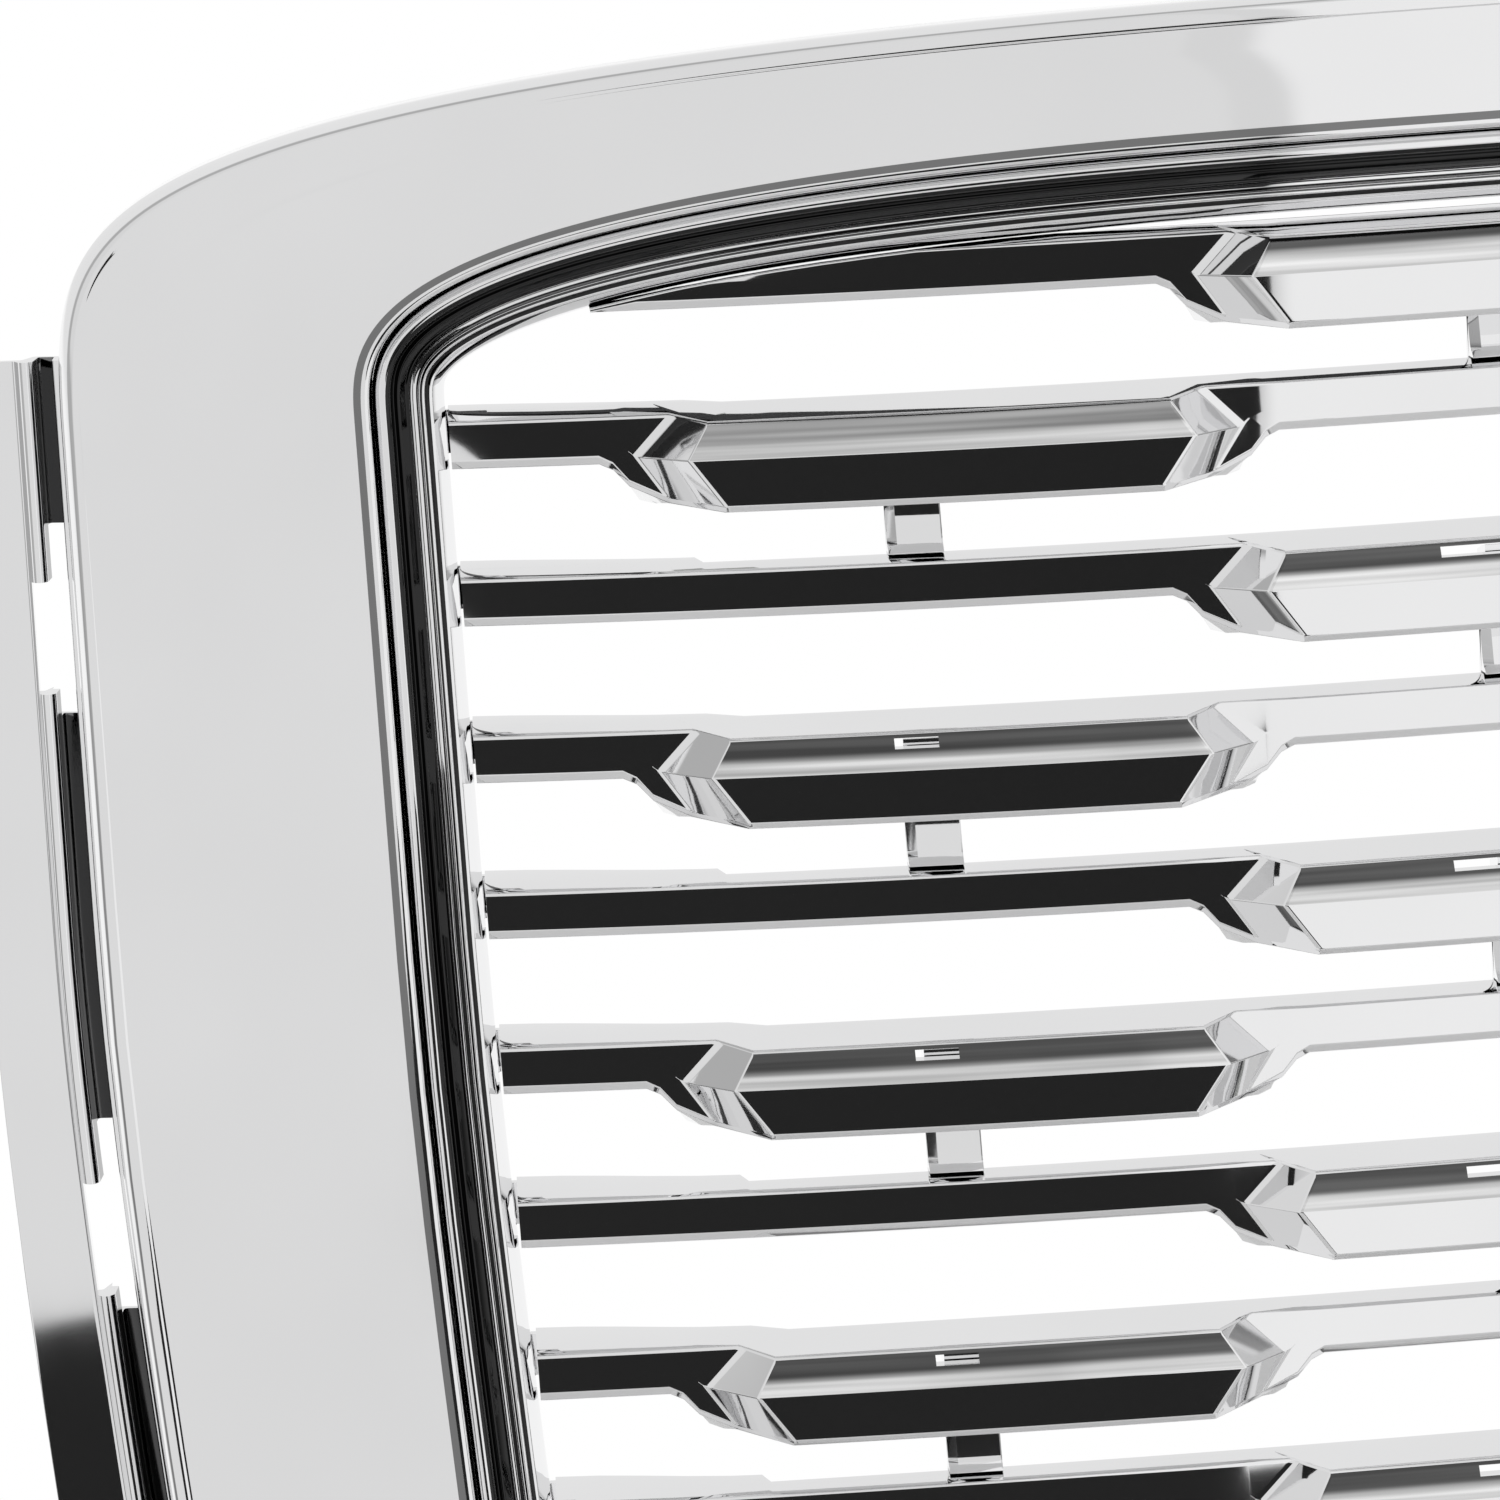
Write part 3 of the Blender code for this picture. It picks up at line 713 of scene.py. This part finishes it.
def add_steps(stations, row):
    """Adds the stations on both sides of the step in the top flange, where they fall on a plain stretch."""
    for side in (-1, 1):
        for x in (side * (STEP_X + 1.5), side * (STEP_X - 1.5)):
            if not is_pair(row) and abs(x) < bar_end(row) - 3:
                stations = [s for s in stations if abs(s[0] - x) > 2.9 or s[2] is not PLAIN_FRONT]
                stations.append((x, 0.0, PLAIN_FRONT))
    return sorted(stations, key=lambda s: s[0])


def flange_depth(x, end):
    """How far back a bar's top face runs."""
    if abs(x) < STEP_X:
        return FLANGE_MIDDLE
    share = (end - abs(x)) / max(end - STEP_X, 1.0)
    return FLANGE_AT_FRAME + (FLANGE_AT_STEP - FLANGE_AT_FRAME) * smooth(share)


def crest_height(x, row):
    """Height of a bar's top face above its ridge."""
    if abs(x) > STEP_X:
        return CREST_BY_FRAME
    return CREST_OF_PAIR if is_pair(row) else CREST_OF_CENTRE


def under_arch(section, z_row):
    """The top bar is cut off along the arch of the bezel, down to a thin wedge at its ends."""
    limit = max(arch_z(section[0][0], OPENING_INSET + ARCH_GAP) - z_row, TOP_ROW_THINNEST)
    outside = [limit, limit, limit, limit - 0.8, limit - 1.6]
    hollow = [limit - 0.5] * 3
    limits = outside + [limit] * 5 + hollow
    return [(x, depth, min(z, top)) for (x, depth, z), top in zip(section, limits)]


def bar_skin(row):
    z_row, end = row_z(row), bar_end(row)
    sections = []
    for x, drop, front in add_steps(row_stations(row), row):
        section = bar_section(x, flange_depth(x, end), crest_height(x, row), drop, front)
        if row == 1:
            section = under_arch(section, z_row)
        sections.append([(px, bow(px, z_row) + d, z_row + z) for px, d, z in section])
    return loft(sections, closed=False)


def prism(name, profile, x_range, row):
    """A side profile of (depth, height) swept across a row, following its bow. It has no finish."""
    z_row = row_z(row)
    sections = [[(x, bow(x, z_row) + d, z_row + z) for d, z in profile] for x in x_range]
    return mesh_object(name, *loft(sections, closed=False))


def post_places(row):
    if is_pair(row):
        return ((-PAIR_POST_X, "left"), (PAIR_POST_X, "right"))
    return ((0.0, "centre"),)


def window_places(row):
    if is_pair(row):
        return ((-PAIR_WINDOW_X, PAIR_WINDOW_WIDTH), (PAIR_WINDOW_X, PAIR_WINDOW_WIDTH))
    return ((0.0, CENTRE_WINDOW_WIDTH),)


def post_notch(row, x):
    half = POST_WIDTH / 2 + POST_GAP
    front = POST_FRONT - POST_GAP
    profile = ((front, NOTCH_BOTTOM), (NOTCH_BACK, NOTCH_BOTTOM),
               (NOTCH_BACK, NOTCH_TOP), (front, NOTCH_TOP))
    return prism("notch", profile, (x - half, x + half), row)


def window_cutter(row, x, width):
    profile = ((WINDOW_FRONT, WINDOW_BOTTOM), (WINDOW_BACK, WINDOW_BOTTOM),
               (WINDOW_BACK, WINDOW_TOP), (WINDOW_FRONT, WINDOW_TOP))
    return prism("window", profile, (x - width / 2, x + width / 2), row)


def end_tab(row, side):
    """Flat tab on a bar's end that lies between the bezel and the rear frame."""
    end = bar_end(row)
    profile = ((TAB_FRONT, TAB_BOTTOM), (TAB_BACK, TAB_BOTTOM), (TAB_BACK, TAB_TOP), (TAB_FRONT, TAB_TOP))
    return prism("tab", profile, (side * (end - TAB_OVERLAP), side * (end + TAB_REACH)), row)


def join_into(made, others):
    """Adds the meshes of others to made."""
    bm = bmesh.new()
    for obj in [made, *others]:
        bm.from_mesh(obj.data)
    bm.to_mesh(made.data)
    bm.free()
    drop_tools(others)


# Number of points in a bar's section, and the places of some of them in its list.
SECTION_POINTS = 13
TOP_BACK, CREST_FRONT, RIDGE, LOWER_FRONT, LIP, LIP_BACK = 0, 2, 3, 4, 5, 6


def bar_edge_width(stations):
    """Width of the rounding for the edge between two points of a bar's skin, numbered section by section."""
    drops = [drop for _, drop, _ in stations]
    tips = {i for i, drop in enumerate(drops) if drop == TIP_DROP}
    heads = {i for i, drop in enumerate(drops) if drop == 1.0 and {i - 1, i + 1} & tips}

    def width(a, b):
        (i, j), (k, m) = divmod(a, SECTION_POINTS), divmod(b, SECTION_POINTS)
        if j == m:
            thick = drops[i] == 1.0 and drops[k] == 1.0
            if j == CREST_FRONT:
                return CREST_ROUND if thick else EDGE_ROUND
            if j == RIDGE:
                return FINE_ROUND if drops[i] > 0.5 or drops[k] > 0.5 else 0.0
            return FINE_ROUND if j in (TOP_BACK, LOWER_FRONT, LIP, LIP_BACK) else 0.0
        front = {j, m} <= {CREST_FRONT, RIDGE, LOWER_FRONT}
        if i in tips and front:
            return TIP_ROUND if CREST_FRONT in (j, m) else ARROW_ROUND
        return ARROW_ROUND if i in heads and front else 0.0

    return width


def shade_brows(made, stations):
    """Gives the upper facets of the thick parts the chrome with painted dark reflections and streaks."""
    made.data.materials.append(BROW_PAINTED_REFLECTION)
    for i, (here, after) in enumerate(zip(stations, stations[1:])):
        if here[1] == 1.0 and after[1] == 1.0:
            made.data.polygons[i * SECTION_POINTS + CREST_FRONT].material_index = 1


def make_bar(row):
    made = mesh_object(f"bar_skin_{row:02d}", *bar_skin(row), BAR_CHROME)
    stations = add_steps(row_stations(row), row)
    shade_brows(made, stations)
    weighted_bevel(made, bar_edge_width(stations))
    tools = [post_notch(row, x) for x, _ in post_places(row)] if row < ROWS else []
    if row >= FIRST_WINDOW_ROW:
        tools += [window_cutter(row, x, width) for x, width in window_places(row)]
    cut(made, tools)
    settle(made)
    drop_tools(tools)
    if row > 1:
        join_into(made, [end_tab(row, side) for side in (-1, 1)])
    even_normals(made)
    finish_piece(made, "chrome", f"bar_{row:02d}")


# ---- posts ----


def post_profile(row, recess):
    """Side profile: a hook inside the thick bar, a web that leans, a curved foot and a tongue behind."""
    below = row_z(row + 1) - row_z(row)
    foot = below + crest_height(0.0, row + 1) + POST_GAP
    front = POST_FRONT + recess
    web = [(front + POST_LEAN, -12.0, 1.0), (front, foot + 3.5, 2.0), (POST_FRONT - 2.4, foot, 0.4)]
    tongue = FLANGE_MIDDLE + 1.4
    behind = [(tongue, foot, 1.0), (tongue, below + 6.0, 0.4), (tongue + 2.6, below + 6.0, 0.4),
              (tongue + 2.6, foot + 4.0, 1.0), (POST_BACK, -14.0, 1.0)]
    hook = [(POST_BACK, 6.0, 1.0), (0.0, 8.6, 1.0), (-5.6, 9.8, 0.4), (-5.6, 4.4, 0.4), (0.0, 4.4, 1.0),
            (POST_FRONT, 3.0, 1.0)]
    corners = web + behind + hook
    points = [(depth, height, 0.0) for depth, height, _ in corners]
    outline = rounded(points, [corner[2] for corner in corners], POST_CURVE_STEPS)
    return [(depth, height) for depth, height, _ in outline]


def make_post(row, x, name):
    """The web's outer edge is chamfered; its other edge is only softened."""
    z_row, half = row_z(row), POST_WIDTH / 2
    outer = 1 if x > 0 else -1
    stations = [(-outer * half, 0.5), (-outer * (half - 0.5), 0.0), (outer * (half - POST_CHAMFER), 0.0),
                (outer * half, POST_CHAMFER)]
    sections = []
    for offset, recess in stations:
        profile = post_profile(row, recess)
        sections.append([(x + offset, bow(x + offset, z_row) + d, z_row + z) for d, z in profile])
    made = mesh_object(f"post_skin_{row:02d}_{name}", *loft(sections, closed=False), POST_CHROME)
    made.data.set_sharp_from_angle(angle=POST_SHARP_ANGLE)
    finish_piece(made, "chrome", f"post_{row:02d}_{name}")


# ---- side rails ----


def rail_point(z, side, outward, depth):
    x = side_x(z, OUTER) + outward
    return (side * x, bow(x, z) + depth, z)


def rail_skin(side, section, top, bottom, steps, radii=None):
    sections = []
    for i in range(steps + 1):
        z = top + (bottom - top) * i / steps
        points = [rail_point(z, side, *corner) for corner in section]
        sections.append(rounded(points, radii, RAIL_CURVE_STEPS) if radii else points)
    return loft(sections, closed=False)


def screw_hole(side, z):
    """Cutter along Y for the hole of one rail screw."""
    x, y, _ = rail_point(z, side, -RAIL_SCREW_INWARD, REAR_BACK)
    turns = [2 * math.pi * i / HOLE_SIDES for i in range(HOLE_SIDES)]
    circle = [(x + HOLE_RADIUS * math.cos(turn), z + HOLE_RADIUS * math.sin(turn)) for turn in turns]
    sections = [[(cx, y + along, cz) for cx, cz in circle] for along in (-HOLE_REACH, HOLE_REACH)]
    return mesh_object("hole", *loft(sections, closed=False))


def make_rail(side, name):
    """Flange beside the surround, a channel with slots in its floor, and a leg behind the rear frame."""
    leg_back = LEG_DEPTH + RAIL_WALL
    flange = [(46.0, 27.0, 0.8), (46.0, 30.0, 0.8), (17.0, 34.0, 1.0)]
    channel_back = [(13.0, 46.0, 1.5), (2.0, 46.0, 2.0)]
    leg = [(2.0, leg_back, 2.0), (-26.0, leg_back, 2.0), (-52.0, leg_back, 0.8),
           (-52.0, LEG_DEPTH, 0.8), (-26.0, LEG_DEPTH, 2.0), (4.5, LEG_DEPTH, 1.0)]
    channel_front = [(4.5, 43.4, 1.5), (11.0, 43.4, 1.5), (12.0, 28.0, 1.0)]
    ridge = [(14.5, 24.6, 1.4), (17.5, 25.2, 1.4), (20.0, 30.0, 1.5)]
    corners = flange + channel_back + leg + channel_front + ridge
    section = [corner[:2] for corner in corners]
    radii = [corner[2] for corner in corners]
    skin = rail_skin(side, section, RAIL_TOP, RAIL_BOTTOM, RAIL_STEPS, radii)
    made = mesh_object(f"rail_skin_{name}", *skin, RAIL_CHROME)
    # The channel floor gets painted shade and a dark reflection.
    shade_corners(made, len(corners), RAIL_CURVE_STEPS, RAIL_DARK, PAINTED_DARK_REFLECTION)
    floor_cut = [(5.2, 38.0), (5.2, 52.0), (14.2, 52.0), (14.2, 38.0)]
    ridge_cut = [(9.0, 20.0), (9.0, 50.0), (18.6, 50.0), (18.6, 20.0)]
    tools = []
    for i in range(SLOTS):
        top = SLOT_TOP - i * SLOT_PITCH
        bottom = top - SLOT_HEIGHT
        low = bottom + RIDGE_CUT_START
        tools.append(mesh_object("slot", *rail_skin(side, floor_cut, top, bottom, 1)))
        tools.append(mesh_object("lip", *rail_skin(side, ridge_cut, low + RIDGE_CUT_HEIGHT, low, 1)))
    tools += [screw_hole(side, z) for z in RAIL_SCREW_Z]
    cut(made, tools)
    settle(made)
    drop_tools(tools)
    even_normals(made)
    finish_piece(made, "chrome", f"side_rail_{name}")


# ---- pieces kept from the model ----


def dress(node, finish, edge):
    """A model node with softened edges and a better finish."""
    made = frame["nodes"][node]
    made.data.materials.clear()
    made.data.materials.append(finish)
    made.data.shade_smooth()
    bevel(made, edge)
    even_normals(made)


def dress_kept_nodes():
    dress("rear_frame", PLASTIC, 0.5)
    for name in sorted(frame["nodes"]):
        if "screw" in name:
            dress(name, ZINC, 0.4)
        elif "bracket" in name:
            dress(name, ZINC, 0.5)
        elif "grommet" in name:
            dress(name, RUBBER, 0.5)


# ---- studio ----

UNLIT = 0.022
FLOOR_RADIUS = 1.25
FLOOR_GAP = 0.002
CARD_Y = -1.9
CARD_OUTLINE = [(-1.95, -0.06), (-0.80, 0.22), (-0.12, 0.20), (-0.10, -0.10), (0.08, -1.03), (-0.72, -1.03)]
CAMERA_PLACE = (-0.3536, -1.7751, 0.4226)
CAMERA_RIGHT = Vector((0.99615, -0.05489, -0.06835))
CAMERA_FORWARD = Vector((0.04065, 0.98005, -0.19456))
CAMERA_LENS = 120.0
CAMERA_SENSOR = 36.0


def make_floor():
    """Pale round floor under the grille."""
    low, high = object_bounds()
    bm = bmesh.new()
    bmesh.ops.create_circle(bm, cap_ends=True, segments=96, radius=FLOOR_RADIUS)
    mesh = bpy.data.meshes.new("floor")
    bm.to_mesh(mesh)
    bm.free()
    floor = bpy.data.objects.new("floor", mesh)
    floor.location = (0.0, (low.y + high.y) / 2, low.z - FLOOR_GAP)
    bpy.context.scene.collection.objects.link(floor)
    paint = new_material("floor_paint", (0.86, 0.86, 0.86), 0.6, 0.0)
    vary_roughness(paint, 5.0, 0.55, 0.7)
    mesh.materials.append(paint)


def make_dark_card():
    """Black card behind the camera, seen only as a reflection. Its left edge slants, so that it stays off
    the surround in the camera's view."""
    mesh = bpy.data.meshes.new("dark_card")
    mesh.from_pydata([(x, CARD_Y, z) for x, z in CARD_OUTLINE], [], [tuple(range(len(CARD_OUTLINE)))])
    card = bpy.data.objects.new("dark_card", mesh)
    bpy.context.scene.collection.objects.link(card)
    paint = new_material("card_paint", (UNLIT, UNLIT, UNLIT), 0.9, 0.0)
    paint.node_tree.nodes["Principled BSDF"].inputs["Specular IOR Level"].default_value = 0.0
    mesh.materials.append(paint)
    card.visible_camera = False


def make_world():
    """Studio by direction: white behind, soft panels to the left, right and above, and dim side walls."""
    world = bpy.data.worlds.new("studio")
    bpy.context.scene.world = world
    world.use_nodes = True
    tree = world.node_tree
    place = tree.nodes.new("ShaderNodeTexCoord")
    split = tree.nodes.new("ShaderNodeSeparateXYZ")
    tree.links.new(place.outputs["Generated"], split.inputs["Vector"])
    x, y, z = split.outputs
    behind = combine(tree, "MULTIPLY", level(tree, y, 0.02, 0.25), level(tree, z, 0.0, 0.10, 1.0, 0.84))
    beside = level(tree, y, -0.10, -0.24)
    left = combine(tree, "MULTIPLY", beside, level(tree, x, 0.02, -0.06), 0.78)
    right = combine(tree, "MULTIPLY", beside, level(tree, x, -0.06, 0.02), 0.92)
    above = combine(tree, "MULTIPLY", level(tree, z, 0.12, 0.22), level(tree, y, 0.10, -0.10), 0.74)
    edges = level(tree, z, -0.05, 0.15, 0.22, 0.45)
    light = combine(tree, "MAXIMUM", behind, left, right, above, edges, UNLIT)
    background = tree.nodes["Background"]
    tree.links.new(light, background.inputs["Color"])
    background.inputs["Strength"].default_value = 1.0
    bpy.context.scene.view_settings.view_transform = "Standard"


def make_camera():
    """The photograph's close view of the upper left part, through a long lens."""
    lens = bpy.data.cameras.new("camera")
    lens.lens = CAMERA_LENS
    lens.sensor_width = CAMERA_SENSOR
    camera = bpy.data.objects.new("camera", lens)
    bpy.context.scene.collection.objects.link(camera)
    camera.location = CAMERA_PLACE
    up = CAMERA_RIGHT.cross(CAMERA_FORWARD)
    turn = Matrix((CAMERA_RIGHT, up, -CAMERA_FORWARD)).transposed()
    camera.rotation_mode = "QUATERNION"
    camera.rotation_quaternion = turn.to_quaternion()
    bpy.context.scene.camera = camera


def main():
    make_surround()
    make_bezel()
    for row in range(1, ROWS + 1):
        make_bar(row)
        if row < ROWS:
            for x, name in post_places(row):
                make_post(row, x, name)
    for side, name in ((-1, "left"), (1, "right")):
        make_rail(side, name)
    dress_kept_nodes()
    make_floor()
    make_dark_card()
    make_world()
    make_camera()


main()
